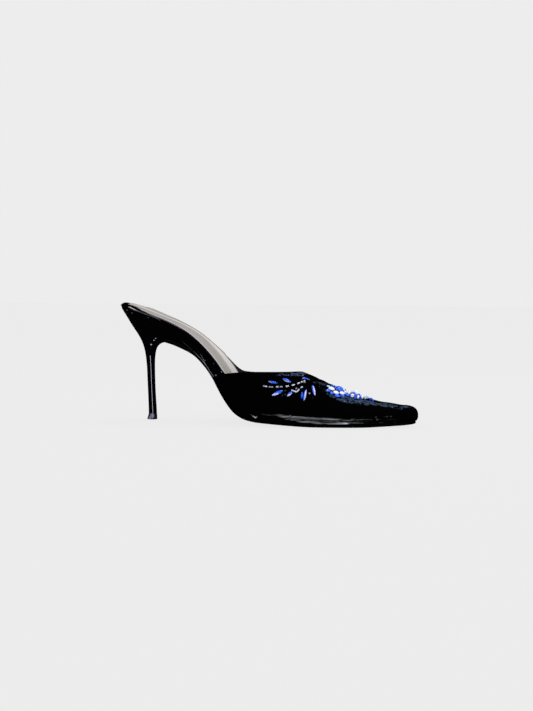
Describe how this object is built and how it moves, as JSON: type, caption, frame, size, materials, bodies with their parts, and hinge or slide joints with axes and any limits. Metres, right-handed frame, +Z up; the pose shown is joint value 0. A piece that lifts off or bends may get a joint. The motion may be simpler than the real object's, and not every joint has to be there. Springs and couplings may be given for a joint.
{
  "type": "high heel mule shoe",
  "caption": "Right-foot mule with a long pointed closed toe, an open back, a slim tall heel and a beaded spray across the front.",
  "frame": {"origin": "on the ground plane that heel tip and forefoot stand on, under the centre of the bounding box", "axes": "+X towards the toe, +Y towards the inner side of the right foot, +Z up"},
  "size_m": [0.261, 0.08, 0.1026],
  "materials": {
    "patent_leather": "black patent leather, mirror gloss",
    "sock_leather": "taupe smooth leather, satin",
    "sole_leather": "black sole leather, satin",
    "vamp_fabric": "black velvet with a blue-grey sheen",
    "heel_tip_plastic": "black hard plastic",
    "blue_glass": "deep blue cut glass",
    "silver_beads": "silver-lined clear glass beads"
  },
  "bodies": {
    "root": {"insole": "patent_leather", "sock": "sock_leather", "outsole": "sole_leather", "upper": "vamp_fabric", "heel": "patent_leather", "heel_tip": "heel_tip_plastic", "petal_outer_1": "blue_glass", "petal_outer_2": "blue_glass", "petal_outer_3": "blue_glass", "petal_outer_4": "blue_glass", "petal_outer_5": "blue_glass", "petal_outer_6": "blue_glass", "petal_outer_7": "blue_glass", "petal_outer_8": "blue_glass", "petal_outer_9": "blue_glass", "bead_stem_outer": "silver_beads", "petal_inner_1": "blue_glass", "petal_inner_2": "blue_glass", "petal_inner_3": "blue_glass", "petal_inner_4": "blue_glass", "petal_inner_5": "blue_glass", "petal_inner_6": "blue_glass", "petal_inner_7": "blue_glass", "petal_inner_8": "blue_glass", "petal_inner_9": "blue_glass", "bead_stem_inner": "silver_beads", "flower": "silver_beads", "bead_trail": "silver_beads"}
  },
  "joints": []
}
